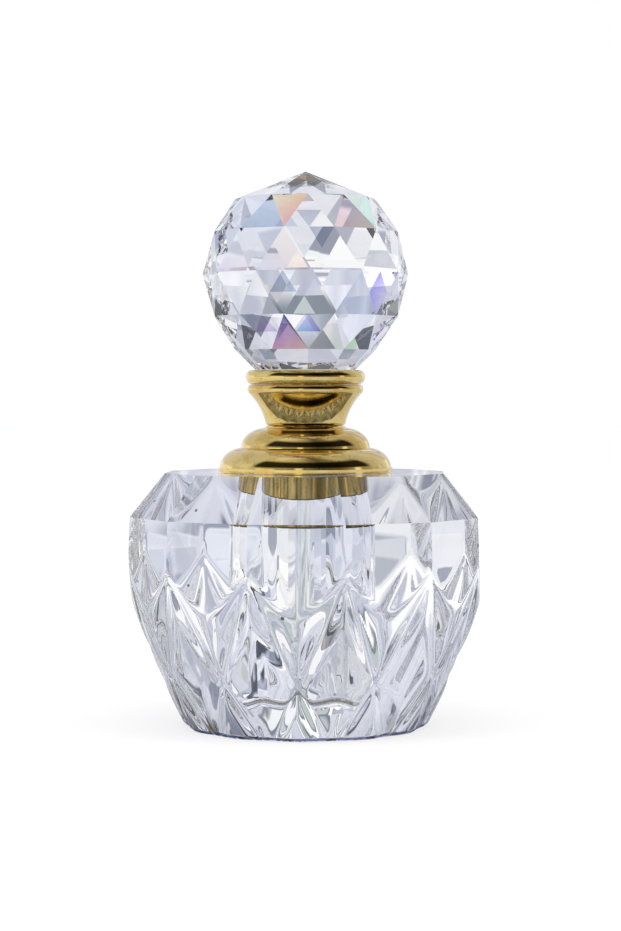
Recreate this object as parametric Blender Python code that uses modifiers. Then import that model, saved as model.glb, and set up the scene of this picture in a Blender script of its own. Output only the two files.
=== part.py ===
"""Crystal oil bottle with a screw stopper: a twelve-sided cut body, a gilt neck and a faceted ball.

Metres, +Z up. The origin is the centre of the base, and one upright facet of the body faces -Y.
"""
from math import acos, atan2, cos, hypot, pi, radians, sin, tan

import bmesh
import bpy
from mathutils import Vector

# Clearance kept between pieces that seat, slide or turn on one another
CLEARANCE = 0.0003

# Crystal body, whose radii are to the corners of the upright facets unless they say otherwise
FACET_COUNT = 12
BODY_HEIGHT = 0.0370
RIM_RADIUS = 0.0208
GIRDLE_HEIGHT = 0.0307
GIRDLE_RADIUS = 0.0259
PEAK_HEIGHT = 0.0230
PEAK_RADIUS = 0.0262
BASE_FLAT_RADIUS = 0.01735
BASE_CHAMFER = 0.0003
TAPER_ARC_RADIUS = 0.0950
BORE_RADIUS = 0.0059
BORE_FLOOR = 0.0070
BORE_FILLET = 0.0015

# Mitre cuts, two from each peak, leaning either way. Each runs straight to a crossing with its
# neighbour, below the middle of the upright facet, and straight again to the base. Each set runs
# deeper than the last by a step, so that the bottoms of two cuts cross without meeting.
MITRE_ANGLE = radians(94)
MITRE_LEAN = radians(27)
MITRE_CROSSING_HEIGHT = 0.0084
MITRE_CROSSING_RADIUS = 0.02118
MITRE_PEAK_DEPTH = 0.0001
MITRE_FOOT_DEPTH = 0.00015
MITRE_DEPTH_STEP = 0.00002
MITRE_TOOL_DEPTH = 0.0016
MITRE_TOOL_OVERRUN = 0.0040
MITRE_CROSSING_OVERRUN = 0.0007

# Neck ferrule: a skirt in the bore, a flange on the rim and a threaded neck
SKIRT_WALL = 0.0008
SKIRT_LENGTH = 0.0072
FLANGE_RADIUS = 0.0090
FLANGE_THICKNESS = 0.0008
NECK_RADIUS = 0.0045
NECK_WALL = 0.0009
LEAD_CHAMFER = 0.0003

# Dome collar: two turned steps over the flange
COLLAR_WALL = 0.0006
LIP_RADIUS = 0.01275
LIP_HEIGHT = 0.0004
LOWER_DOME_RADIUS = 0.0125
LOWER_DOME_HEIGHT = 0.0029
LOWER_DOME_SPREAD = 0.0036
DOME_STEP = 0.0031
UPPER_DOME_HEIGHT = 0.0029
UPPER_DOME_SPREAD = 0.0039
DOME_CROWN_ANGLE = radians(81)

# Bell cap, which screws on the neck
CAP_FOOT_WALL = 0.00105
CAP_FLARE_HEIGHT = 0.0046
CAP_FLARE_ARC_RADIUS = 0.0090
CAP_BEAD_HEIGHT = 0.0014
CAP_BEAD_BULGE = 0.0005
CAP_BEAD_TURN = radians(53)
SEAM_RADIUS = 0.00795

# Ball seat, pressed into the cap by its spigot
SEAT_RADIUS = 0.0087
SEAT_HEIGHT = 0.0018
SEAT_ROOF = 0.00045
SPIGOT_WALL = 0.0008
SPIGOT_LENGTH = 0.0011

# Crystal ball, whose corners lie on a sphere, in rings above and below its middle
BALL_RADIUS = 0.0150
NEAR_RING_ANGLE = radians(24)
FAR_RING_ANGLE = radians(47)
BALL_FOOT_RADIUS = 0.0073
BALL_FOOT_CUT = 0.0014
BALL_TURN = radians(5)

# Seal washer, rod plug and dauber rod
WASHER_THICKNESS = 0.0007
PLUG_THICKNESS = 0.00185
PLUG_ROOF = 0.00035
ROD_RADIUS = 0.0017
ROD_BULB_RADIUS = 0.0024
ROD_TIP_GAP = 0.0055

# How far a cutter runs past what it cuts
CUTTER_MARGIN = 0.0020

# Facets of the round pieces
ROUND_STEPS = 48
SMALL_ROUND_STEPS = 32
ARC_POINTS = 8
TAPER_POINTS = 12
SHARP_ANGLE = radians(20)

# Angles, heights and radii that follow from the sizes above
HALF_FACET = pi / FACET_COUNT
TO_CORNER = 1 / cos(HALF_FACET)
FLANGE_BOTTOM = BODY_HEIGHT + CLEARANCE
FLANGE_TOP = FLANGE_BOTTOM + FLANGE_THICKNESS
COLLAR_BOTTOM = BODY_HEIGHT + CLEARANCE
LOWER_DOME_FOOT = COLLAR_BOTTOM + LIP_HEIGHT
UPPER_DOME_FOOT = LOWER_DOME_FOOT + LOWER_DOME_HEIGHT
COLLAR_TOP = UPPER_DOME_FOOT + UPPER_DOME_HEIGHT
CAP_BOTTOM = COLLAR_TOP + CLEARANCE
CAP_BEAD_BOTTOM = CAP_BOTTOM + CAP_FLARE_HEIGHT
CAP_TOP = CAP_BEAD_BOTTOM + CAP_BEAD_HEIGHT
SEAT_BOTTOM = CAP_TOP + CLEARANCE
SEAT_TOP = SEAT_BOTTOM + SEAT_HEIGHT
SPIGOT_BOTTOM = SEAT_BOTTOM - SPIGOT_LENGTH
PLUG_TOP = SEAT_TOP - SEAT_ROOF - CLEARANCE
PLUG_BOTTOM = PLUG_TOP - PLUG_THICKNESS
WASHER_TOP = PLUG_BOTTOM - CLEARANCE
WASHER_BOTTOM = WASHER_TOP - WASHER_THICKNESS
NECK_TOP = WASHER_BOTTOM - CLEARANCE
ROD_TOP = PLUG_TOP - PLUG_ROOF - CLEARANCE
ROD_TIP = BORE_FLOOR + ROD_TIP_GAP
BALL_MIDDLE = SEAT_TOP + CLEARANCE + BALL_RADIUS - BALL_FOOT_CUT
SKIRT_RADIUS = BORE_RADIUS - CLEARANCE
CAP_BORE_RADIUS = NECK_RADIUS + CLEARANCE
CAP_FOOT_RADIUS = CAP_BORE_RADIUS + CAP_FOOT_WALL
SPIGOT_RADIUS = CAP_BORE_RADIUS + SPIGOT_WALL
COUNTERBORE_RADIUS = SPIGOT_RADIUS + CLEARANCE
PLUG_RADIUS = CAP_BORE_RADIUS - CLEARANCE
ROD_HOLE_RADIUS = ROD_RADIUS + CLEARANCE


def clear_scene():
    """Remove the objects that a new file starts with."""
    for item in list(bpy.data.objects):
        bpy.data.objects.remove(item, do_unlink=True)


def new_collection(name):
    """Add a collection to the scene."""
    group = bpy.data.collections.new(name)
    bpy.context.scene.collection.children.link(group)
    return group


def new_material(name, colour, roughness, metallic=0.0, transmission=0.0, ior=1.5):
    """Make a plain material for one kind of finish."""
    material = bpy.data.materials.new(name)
    material.use_nodes = True
    shader = material.node_tree.nodes["Principled BSDF"]
    shader.inputs["Base Color"].default_value = (*colour, 1.0)
    shader.inputs["Roughness"].default_value = roughness
    shader.inputs["Metallic"].default_value = metallic
    shader.inputs["Transmission Weight"].default_value = transmission
    shader.inputs["IOR"].default_value = ior
    return material


def mesh_object(name, mesh, group, material=None):
    """Put a mesh in the scene as a named object."""
    item = bpy.data.objects.new(name, mesh)
    if material:
        mesh.materials.append(material)
    group.objects.link(item)
    return item


def elliptic_arc(centre, half_width, half_height, start, end, points=ARC_POINTS):
    """Points of a profile on an ellipse, from one angle to another, both ends included."""
    step = (end - start) / (points - 1)
    angles = [start + step * index for index in range(points)]
    return [(centre[0] + half_width * cos(a), centre[1] + half_height * sin(a)) for a in angles]


def arc_through(first, last, radius, bulge, points=ARC_POINTS):
    """Points of a profile on a circle through two ends, bulging outward (1) or inward (-1)."""
    (x0, z0), (x1, z1) = first, last
    chord = hypot(x1 - x0, z1 - z0)
    rise = (radius**2 - chord**2 / 4) ** 0.5
    across = ((z1 - z0) / chord, -(x1 - x0) / chord)
    centre = ((x0 + x1) / 2 + bulge * rise * across[0], (z0 + z1) / 2 + bulge * rise * across[1])
    start = atan2(z0 - centre[1], x0 - centre[0])
    sweep = atan2(z1 - centre[1], x1 - centre[0]) - start
    sweep = (sweep + pi) % (2 * pi) - pi
    angles = [start + sweep * index / (points - 1) for index in range(points)]
    return [(centre[0] + radius * cos(a), centre[1] + radius * sin(a)) for a in angles]


def turned(name, profile, group, material=None, steps=ROUND_STEPS, ring=False):
    """Turn a profile, listed down its outer side, about Z. A ring's profile closes on itself."""
    mesh = bpy.data.meshes.new(name)
    corners = [(x, 0.0, z) for x, z in profile]
    edges = [(index, index + 1) for index in range(len(corners) - 1)]
    if ring:
        edges.append((len(corners) - 1, 0))
    mesh.from_pydata(corners, edges, [])
    item = mesh_object(name, mesh, group, material)
    screw = item.modifiers.new("turn", "SCREW")
    screw.axis = "Z"
    screw.angle = 2 * pi
    screw.steps = steps
    screw.render_steps = steps
    screw.use_merge_vertices = True
    screw.merge_threshold = 0.000001
    return item


def shade_round(item):
    """Turn the modifiers into mesh and shade it smooth, with its corners kept sharp."""
    scene_state = bpy.context.evaluated_depsgraph_get()
    mesh = bpy.data.meshes.new_from_object(item.evaluated_get(scene_state))
    mesh.name = item.name
    item.modifiers.clear()
    item.data = mesh
    mesh.shade_smooth()
    mesh.set_sharp_from_angle(angle=SHARP_ANGLE)


def cut(item, cutter, operation="DIFFERENCE"):
    """Cut a piece with a cutter that stays hidden."""
    modifier = item.modifiers.new(cutter.name, "BOOLEAN")
    modifier.operation = operation
    modifier.solver = "EXACT"
    modifier.object = cutter
    cutter.display_type = "WIRE"
    cutter.hide_render = True


def point_round(radius, angle, height):
    """A point at a radius, an angle about Z and a height."""
    return Vector((radius * cos(angle), radius * sin(angle), height))


def mitre_cutter(name, lean, lower, step, group):
    """One set of V cuts, a straight three-sided bar for each peak, above or below the crossings."""
    mesh = bpy.data.meshes.new(name)
    builder = bmesh.new()
    deeper = step * MITRE_DEPTH_STEP
    half_width = MITRE_TOOL_DEPTH * tan(MITRE_ANGLE / 2)
    for index in range(FACET_COUNT):
        peak_angle = HALF_FACET * (2 * index + 1)
        crossing_angle = peak_angle + lean * HALF_FACET
        foot_angle = peak_angle + lean * MITRE_LEAN
        peak = point_round(PEAK_RADIUS - MITRE_PEAK_DEPTH - deeper, peak_angle, PEAK_HEIGHT)
        crossing = point_round(MITRE_CROSSING_RADIUS - deeper, crossing_angle, MITRE_CROSSING_HEIGHT)
        foot = point_round(BASE_FLAT_RADIUS - MITRE_FOOT_DEPTH - deeper, foot_angle, 0.0)
        end = foot if lower else peak
        facet_angle = peak_angle + 2 * lean * HALF_FACET if lower else peak_angle
        along = (end - crossing).normalized()
        across = along.cross(point_round(1.0, facet_angle, 0.0)).normalized() * half_width
        outward = across.cross(along).normalized() * MITRE_TOOL_DEPTH
        bar = []
        for place in (crossing - along * MITRE_CROSSING_OVERRUN, end + along * MITRE_TOOL_OVERRUN):
            corners = (place, place + outward + across, place + outward - across)
            bar.append([builder.verts.new(corner) for corner in corners])
            builder.faces.new(bar[-1])
        for side in range(3):
            other = (side + 1) % 3
            builder.faces.new((bar[0][side], bar[0][other], bar[1][other], bar[1][side]))
    bmesh.ops.recalc_face_normals(builder, faces=builder.faces)
    builder.to_mesh(mesh)
    builder.free()
    return mesh_object(name, mesh, group)


def make_crystal_body(parts, cutters, material):
    """Twelve upright facets over twelve curved ones, cut with mitres and bored down the middle."""
    flare = (PEAK_RADIUS - GIRDLE_RADIUS) / (GIRDLE_HEIGHT - PEAK_HEIGHT)
    crown = [
        (0.0, BODY_HEIGHT),
        (RIM_RADIUS, BODY_HEIGHT),
        (GIRDLE_RADIUS, GIRDLE_HEIGHT),
        (PEAK_RADIUS + flare * (PEAK_HEIGHT + CUTTER_MARGIN), -CUTTER_MARGIN),
        (0.0, -CUTTER_MARGIN),
    ]
    body = turned("crystal_body", crown, parts, material, steps=FACET_COUNT)
    body.rotation_euler.z = HALF_FACET

    foot = (BASE_FLAT_RADIUS * TO_CORNER, 0.0)
    peak = (PEAK_RADIUS * TO_CORNER, PEAK_HEIGHT)
    taper = arc_through(peak, foot, TAPER_ARC_RADIUS, 1, TAPER_POINTS)
    upper_slope = (taper[0][0] - taper[1][0]) / (taper[0][1] - taper[1][1])
    foot_slope = (taper[-2][0] - taper[-1][0]) / (taper[-2][1] - taper[-1][1])
    above = BODY_HEIGHT + CUTTER_MARGIN
    profile = [(0.0, above), (peak[0] + upper_slope * (above - PEAK_HEIGHT), above)]
    profile += taper[:-1]
    profile += [
        (foot[0] + foot_slope * BASE_CHAMFER, BASE_CHAMFER),
        (foot[0] + foot_slope * BASE_CHAMFER - BASE_CHAMFER, 0.0),
        (0.0, 0.0),
    ]
    cut(body, turned("taper_form", profile, cutters, steps=FACET_COUNT), "INTERSECT")
    cut(body, mitre_cutter("upper_mitres_leaning_left", -1, False, 0, cutters))
    cut(body, mitre_cutter("upper_mitres_leaning_right", 1, False, 1, cutters))
    cut(body, mitre_cutter("lower_mitres_leaning_left", -1, True, 2, cutters))
    cut(body, mitre_cutter("lower_mitres_leaning_right", 1, True, 3, cutters))

    fillet = elliptic_arc(
        (BORE_RADIUS - BORE_FILLET, BORE_FLOOR + BORE_FILLET), BORE_FILLET, BORE_FILLET, 0, -pi / 2
    )
    bore = [(0.0, above), (BORE_RADIUS, above), *fillet, (0.0, BORE_FLOOR)]
    bore_form = turned("bore_form", bore, cutters)
    bore_form.rotation_euler.z = pi / ROUND_STEPS
    cut(body, bore_form)
    shade_round(body)


def make_neck_ferrule(parts, material):
    """One turned piece: the skirt in the glass, the flange on its rim and the neck above."""
    skirt_bottom = FLANGE_BOTTOM - SKIRT_LENGTH - CLEARANCE
    skirt_bore = SKIRT_RADIUS - SKIRT_WALL
    neck_bore = NECK_RADIUS - NECK_WALL
    profile = [
        (neck_bore, NECK_TOP),
        (NECK_RADIUS - LEAD_CHAMFER, NECK_TOP),
        (NECK_RADIUS, NECK_TOP - LEAD_CHAMFER),
        (NECK_RADIUS, FLANGE_TOP),
        (FLANGE_RADIUS, FLANGE_TOP),
        (FLANGE_RADIUS, FLANGE_BOTTOM),
        (SKIRT_RADIUS, FLANGE_BOTTOM),
        (SKIRT_RADIUS, skirt_bottom),
        (skirt_bore, skirt_bottom),
        (skirt_bore, FLANGE_BOTTOM),
        (neck_bore, FLANGE_BOTTOM),
    ]
    shade_round(turned("neck_ferrule", profile, parts, material, ring=True))


def make_dome_collar(parts, material):
    """A spun shell in two domed steps, open below, with a hole for the neck."""
    hole_radius = NECK_RADIUS + CLEARANCE
    lower_middle = (LOWER_DOME_RADIUS - LOWER_DOME_SPREAD, LOWER_DOME_FOOT)
    upper_radius = LOWER_DOME_RADIUS - DOME_STEP
    upper_middle = (upper_radius - UPPER_DOME_SPREAD, UPPER_DOME_FOOT)
    meeting_angle = acos((upper_radius + COLLAR_WALL / 2 - lower_middle[0]) / LOWER_DOME_SPREAD)
    outside = [
        (hole_radius, COLLAR_TOP),
        *elliptic_arc(upper_middle, UPPER_DOME_SPREAD, UPPER_DOME_HEIGHT, DOME_CROWN_ANGLE, 0),
        *elliptic_arc(lower_middle, LOWER_DOME_SPREAD, LOWER_DOME_HEIGHT, meeting_angle, 0),
        (LIP_RADIUS, LOWER_DOME_FOOT),
        (LIP_RADIUS, COLLAR_BOTTOM),
    ]
    inside_lower = elliptic_arc(
        lower_middle, LOWER_DOME_SPREAD - COLLAR_WALL, LOWER_DOME_HEIGHT - COLLAR_WALL, 0, pi / 2
    )
    inside_upper = elliptic_arc(
        upper_middle, UPPER_DOME_SPREAD - COLLAR_WALL, UPPER_DOME_HEIGHT - COLLAR_WALL,
        0, DOME_CROWN_ANGLE
    )
    inside = [
        (LOWER_DOME_RADIUS - COLLAR_WALL, COLLAR_BOTTOM),
        *inside_lower,
        (inside_upper[0][0], inside_lower[-1][1]),
        *inside_upper[1:],
        (hole_radius, COLLAR_TOP - COLLAR_WALL),
    ]
    shade_round(turned("dome_collar", outside + inside, parts, material, ring=True))


def make_bell_cap(parts, material):
    """The flared cap under its bead, bored for the neck and counterbored for the seat."""
    bead = elliptic_arc(
        (SEAM_RADIUS, (CAP_BEAD_BOTTOM + CAP_TOP) / 2), CAP_BEAD_BULGE, CAP_BEAD_HEIGHT / 2,
        pi / 2, -CAP_BEAD_TURN
    )
    foot = (CAP_FOOT_RADIUS, CAP_BOTTOM + LEAD_CHAMFER)
    flare = arc_through(bead[-1], foot, CAP_FLARE_ARC_RADIUS, -1)
    counterbore_floor = SPIGOT_BOTTOM - CLEARANCE
    profile = [
        (COUNTERBORE_RADIUS, CAP_TOP),
        *bead,
        *flare[1:],
        (CAP_FOOT_RADIUS - LEAD_CHAMFER, CAP_BOTTOM),
        (CAP_BORE_RADIUS, CAP_BOTTOM),
        (CAP_BORE_RADIUS, counterbore_floor),
        (COUNTERBORE_RADIUS, counterbore_floor),
    ]
    shade_round(turned("bell_cap", profile, parts, material, ring=True))


def make_ball_seat(parts, material):
    """The ring under the ball, roofed over, with a spigot that is pressed into the cap."""
    bead = elliptic_arc(
        (SEAM_RADIUS, (SEAT_BOTTOM + SEAT_TOP) / 2), SEAT_RADIUS - SEAM_RADIUS,
        SEAT_HEIGHT / 2, pi / 2, -pi / 2, points=ARC_POINTS + 2
    )
    roof_bottom = SEAT_TOP - SEAT_ROOF
    profile = [
        (0.0, SEAT_TOP),
        *bead,
        (SPIGOT_RADIUS, SEAT_BOTTOM),
        (SPIGOT_RADIUS, SPIGOT_BOTTOM),
        (CAP_BORE_RADIUS, SPIGOT_BOTTOM),
        (CAP_BORE_RADIUS, roof_bottom),
        (0.0, roof_bottom),
    ]
    shade_round(turned("ball_seat", profile, parts, material))


def make_crystal_ball(parts, material):
    """Rings of corners on a sphere, every other ring turned by half a facet, in a tight skin."""
    rings = [(BALL_FOOT_RADIUS, BALL_FOOT_CUT - BALL_RADIUS, 0)]
    for angle, turn in (
        (FAR_RING_ANGLE, 0), (NEAR_RING_ANGLE, HALF_FACET), (0, 0),
        (-NEAR_RING_ANGLE, HALF_FACET), (-FAR_RING_ANGLE, 0),
    ):
        rings.append((BALL_RADIUS * cos(angle), BALL_RADIUS * sin(angle), turn))
    mesh = bpy.data.meshes.new("crystal_ball")
    builder = bmesh.new()
    builder.verts.new((0, 0, BALL_RADIUS))
    for radius, height, turn in rings:
        for index in range(FACET_COUNT):
            builder.verts.new(point_round(radius, 2 * HALF_FACET * index + turn, height))
    bmesh.ops.convex_hull(builder, input=builder.verts)
    bmesh.ops.recalc_face_normals(builder, faces=builder.faces)
    builder.to_mesh(mesh)
    builder.free()
    ball = mesh_object("crystal_ball", mesh, parts, material)
    ball.location.z = BALL_MIDDLE
    ball.rotation_euler.z = BALL_TURN


def make_seal_washer(parts, material):
    """A soft flat ring, loose on the rod between the neck and the plug."""
    profile = [
        (ROD_HOLE_RADIUS, WASHER_TOP),
        (NECK_RADIUS, WASHER_TOP),
        (NECK_RADIUS, WASHER_BOTTOM),
        (ROD_HOLE_RADIUS, WASHER_BOTTOM),
    ]
    shade_round(turned("seal_washer", profile, parts, material, SMALL_ROUND_STEPS, ring=True))


def make_rod_plug(parts, material):
    """The plug that holds the rod in the cap, with a blind socket from below."""
    socket_top = PLUG_TOP - PLUG_ROOF
    profile = [
        (0.0, PLUG_TOP),
        (PLUG_RADIUS - LEAD_CHAMFER, PLUG_TOP),
        (PLUG_RADIUS, PLUG_TOP - LEAD_CHAMFER),
        (PLUG_RADIUS, PLUG_BOTTOM),
        (ROD_HOLE_RADIUS, PLUG_BOTTOM),
        (ROD_HOLE_RADIUS, socket_top),
        (0.0, socket_top),
    ]
    shade_round(turned("rod_plug", profile, parts, material, SMALL_ROUND_STEPS))


def make_dauber_rod(parts, material):
    """A drawn glass rod with a melted bulb at its tip."""
    bulb_middle = ROD_TIP + ROD_BULB_RADIUS
    meet = acos(ROD_RADIUS / ROD_BULB_RADIUS)
    bulb = elliptic_arc((0.0, bulb_middle), ROD_BULB_RADIUS, ROD_BULB_RADIUS, meet, -pi / 2)
    profile = [
        (0.0, ROD_TOP),
        (ROD_RADIUS - LEAD_CHAMFER, ROD_TOP),
        (ROD_RADIUS, ROD_TOP - LEAD_CHAMFER),
        *bulb[:-1],
        (0.0, ROD_TIP),
    ]
    shade_round(turned("dauber_rod", profile, parts, material, SMALL_ROUND_STEPS))


def main():
    """Build the bottle."""
    clear_scene()
    parts = new_collection("crystal_bottle")
    cutters = new_collection("cutters")
    cutters.hide_render = True

    crystal = new_material("cut_crystal", (0.93, 0.94, 0.98), 0.0, transmission=1.0, ior=1.52)
    rod_glass = new_material("rod_glass", (0.95, 0.97, 0.97), 0.02, transmission=1.0, ior=1.47)
    gilt = new_material("gilt_brass", (0.80, 0.58, 0.24), 0.08, metallic=1.0)
    soft_plastic = new_material("soft_plastic", (0.86, 0.86, 0.83), 0.45)

    make_crystal_body(parts, cutters, crystal)
    make_neck_ferrule(parts, gilt)
    make_dome_collar(parts, gilt)
    make_bell_cap(parts, gilt)
    make_ball_seat(parts, gilt)
    make_crystal_ball(parts, crystal)
    make_seal_washer(parts, soft_plastic)
    make_rod_plug(parts, soft_plastic)
    make_dauber_rod(parts, rod_glass)


main()
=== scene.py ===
"""Dressed model of a small cut crystal bottle with a gilt screw stopper.

Each operator makes one piece, or a group of like pieces, on its body of the packed frame.
"""

from math import acos, atan2, cos, hypot, pi, radians, sin

import bmesh
import bpy
import numpy as np
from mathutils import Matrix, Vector


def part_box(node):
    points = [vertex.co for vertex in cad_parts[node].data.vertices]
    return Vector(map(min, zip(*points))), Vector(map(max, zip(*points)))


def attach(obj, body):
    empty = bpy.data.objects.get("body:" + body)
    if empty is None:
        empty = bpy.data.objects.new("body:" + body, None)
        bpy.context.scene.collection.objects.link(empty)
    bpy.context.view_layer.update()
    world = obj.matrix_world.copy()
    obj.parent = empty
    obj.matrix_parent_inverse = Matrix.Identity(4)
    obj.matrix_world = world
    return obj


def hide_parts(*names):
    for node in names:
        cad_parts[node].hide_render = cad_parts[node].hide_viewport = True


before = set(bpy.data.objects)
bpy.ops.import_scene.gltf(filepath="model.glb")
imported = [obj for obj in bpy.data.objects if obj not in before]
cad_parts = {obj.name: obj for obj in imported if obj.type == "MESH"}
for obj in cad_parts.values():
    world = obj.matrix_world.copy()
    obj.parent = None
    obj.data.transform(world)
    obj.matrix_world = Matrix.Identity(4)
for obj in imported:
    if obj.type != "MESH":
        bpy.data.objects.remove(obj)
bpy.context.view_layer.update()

bl_info = {
    "name": "Cut Crystal Bottle",
    "version": (1, 0, 0),
    "blender": (4, 5, 0),
    "location": "View3D > Sidebar > Crystal Bottle",
    "description": "Models a cut crystal bottle with a gilt screw stopper, and the studio it stands in",
    "category": "Object",
}

MM = 0.001
FACETS = 12
HALF_FACET = pi / FACETS
TO_CORNER = 1 / cos(HALF_FACET)
ROUND_STEPS = 128
SMALL_STEPS = 64
SMOOTH_ANGLE = radians(25)
MERGE_DISTANCE = 0.000001

# The bore, with the many-sided plunger's marks, and the blank that the body is cut from
BORE_RADIUS = 5.9 * MM
BORE_FLOOR = 7.0 * MM
BORE_FILLET = 0.9 * MM
BORE_SIDES = 20
PLUNGER_MARKS = 4.5
BLANK_RADIUS = 30 * MM
INNERMOST_SKIN = 10 * MM
HALVINGS = 26
BODY_STEPS = 600
FINE_ROWS = 107
COARSE_ROW = 2.4 * MM

# The body's taper and mitres, and how far pressing has rounded each kind of edge
TAPER_ARC = 95 * MM
BASE_CHAMFER = 0.3 * MM
BASE_CHAMFER_SLOPE = 1.2
MITRE_LEAN = radians(27)
MITRE_HALF_ANGLE = radians(47)
CROSSING_RADIUS = 21.15 * MM
CROSSING_HEIGHT = 8.4 * MM
CROSSING_OVERRUN = 0.7 * MM
PEAK_DEPTH = 0.1 * MM
FOOT_DEPTH = 0.18 * MM
MITRE_ROUND = 0.5 * MM
RIDGE_BLEND = 0.9 * MM
END_BLEND = 0.9 * MM
CROSSING_BLEND = 0.6 * MM
SHOULDER_BLEND = 1.2 * MM
SCALLOP_BLEND = 0.35 * MM

# Refraction of the crystal, and of the rod's glass and the plastic
CRYSTAL_IOR = 1.52
PLAIN_IOR = 1.51

# The camera, fitted to the photo. In pixels: its focal length, the photo's height, and how far the
# photo's middle lies right of the bottle's axis and below the horizon
SENSOR_WIDTH = 36.0
FOCAL_LENGTH = 2312
PHOTO_HEIGHT = 931
LOOK_RIGHT = 5.0
LOOK_DOWN = 75.5


# Modelling helpers


def clear_selection():
    """Leave edit mode and deselect everything."""
    if bpy.context.object and bpy.context.object.mode != "OBJECT":
        bpy.ops.object.mode_set(mode="OBJECT")
    bpy.ops.object.select_all(action="DESELECT")


def activate(piece):
    """Make a piece the only selected and the active one."""
    clear_selection()
    piece.select_set(True)
    bpy.context.view_layer.objects.active = piece


def ellipse_arc(centre, half_width, half_height, start, end, points):
    """Profile points on an ellipse, both ends included."""
    step = (end - start) / (points - 1)
    angles = [start + step * index for index in range(points)]
    return [(centre[0] + half_width * cos(a), centre[1] + half_height * sin(a)) for a in angles]


def circle_arc(first, last, radius, bulge, points):
    """Profile points on a circle through two ends, bulging outward (1) or inward (-1)."""
    (x0, z0), (x1, z1) = first, last
    chord = hypot(x1 - x0, z1 - z0)
    reach = bulge * (radius**2 - chord**2 / 4) ** 0.5 / chord
    centre = ((x0 + x1) / 2 + reach * (z1 - z0), (z0 + z1) / 2 - reach * (x1 - x0))
    start = atan2(z0 - centre[1], x0 - centre[0])
    sweep = (atan2(z1 - centre[1], x1 - centre[0]) - start + pi) % (2 * pi) - pi
    angles = [start + sweep * index / (points - 1) for index in range(points)]
    return [(centre[0] + radius * cos(a), centre[1] + radius * sin(a)) for a in angles]


def turned(name, profile, steps, ring=False):
    """Draw a profile, down its outer side, by extruding one corner, and spin it about Z.

    A ring's profile is closed first, and any other starts and ends on the axis.
    """
    clear_selection()
    bpy.ops.mesh.primitive_plane_add(size=MM, location=(0, 0, 0))
    piece = bpy.context.object
    piece.name = piece.data.name = name
    bpy.ops.object.mode_set(mode="EDIT")
    bpy.ops.mesh.merge(type="CENTER")
    corners = [Vector((radius, 0.0, z)) for radius, z in profile]
    bpy.ops.transform.translate(value=corners[0])
    for last, corner in zip(corners, corners[1:]):
        bpy.ops.mesh.extrude_region_move(TRANSFORM_OT_translate={"value": corner - last})
    if ring:
        shape = bmesh.from_edit_mesh(piece.data)
        for corner in shape.verts:
            corner.select = len(corner.link_edges) == 1
        bmesh.update_edit_mesh(piece.data)
        bpy.ops.mesh.edge_face_add()
    bpy.ops.mesh.select_all(action="SELECT")
    bpy.ops.mesh.spin(steps=steps, angle=2 * pi, center=(0, 0, 0), axis=(0, 0, 1))
    bpy.ops.mesh.select_all(action="SELECT")
    bpy.ops.mesh.remove_doubles(threshold=MERGE_DISTANCE)
    bpy.ops.mesh.normals_make_consistent(inside=False)
    bpy.ops.object.mode_set(mode="OBJECT")
    return piece


def unite(piece, ridge):
    """Make a ridge a part of a piece."""
    step = piece.modifiers.new(ridge.name, "BOOLEAN")
    step.operation = "UNION"
    step.solver = "EXACT"
    step.object = ridge
    activate(piece)
    bpy.ops.object.modifier_apply(modifier=step.name)
    bpy.data.objects.remove(ridge, do_unlink=True)


def thread_ridge(name, profile, low, pitch, turns):
    """A ridge wound about Z as a right-hand thread, from a profile of radii and heights."""
    clear_selection()
    bpy.ops.mesh.primitive_circle_add(vertices=len(profile), radius=MM, location=(0, 0, 0))
    ridge = bpy.context.object
    ridge.name = ridge.data.name = name
    for corner, (radius, height) in zip(ridge.data.vertices, profile):
        corner.co = (radius, 0.0, low + height)
    winding = ridge.modifiers.new("winding", "SCREW")
    winding.steps = winding.render_steps = SMALL_STEPS
    winding.screw_offset = pitch
    winding.iterations = turns
    winding.use_merge_vertices = False
    activate(ridge)
    bpy.ops.object.modifier_apply(modifier=winding.name)
    bpy.ops.object.mode_set(mode="EDIT")
    bpy.ops.mesh.select_all(action="SELECT")
    bpy.ops.mesh.fill_holes(sides=0)
    bpy.ops.mesh.select_all(action="SELECT")
    bpy.ops.mesh.normals_make_consistent(inside=False)
    bpy.ops.object.mode_set(mode="OBJECT")
    return ridge


def finish_piece(piece, material, body, node, smooth):
    """Shade a piece, dress it and set it on its body in place of its CAD node."""
    activate(piece)
    bpy.ops.object.transform_apply(location=True, rotation=True, scale=True)
    bpy.ops.object.shade_smooth_by_angle(angle=smooth)
    piece.data.materials.clear()
    piece.data.materials.append(material)
    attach(piece, body)
    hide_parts(node)
    clear_selection()


# Material helpers


def linear(code):
    """An sRGB hex colour as linear RGBA."""
    parts = [int(code[place : place + 2], 16) / 255 for place in (1, 3, 5)]
    return (*[c / 12.92 if c <= 0.04045 else ((c + 0.055) / 1.055) ** 2.4 for c in parts], 1.0)


def add_node(tree, kind, sockets=None, **settings):
    """Add a node, with its settings and with values or links for its inputs."""
    node = tree.nodes.new(kind)
    for name, value in settings.items():
        setattr(node, name, value)
    for name, value in (sockets or {}).items():
        if isinstance(value, bpy.types.NodeSocket):
            tree.links.new(value, node.inputs[name])
        else:
            node.inputs[name].default_value = value
    return node


def new_material(name):
    """A node material with nothing in it but its output."""
    material = bpy.data.materials.new(name)
    material.use_nodes = True
    tree = material.node_tree
    tree.nodes.clear()
    return material, tree, add_node(tree, "ShaderNodeOutputMaterial")


def principled(tree, output, sockets):
    """Make a principled shader with these values and links the material's surface."""
    shader = add_node(tree, "ShaderNodeBsdfPrincipled", sockets)
    tree.links.new(shader.outputs["BSDF"], output.inputs["Surface"])


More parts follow.
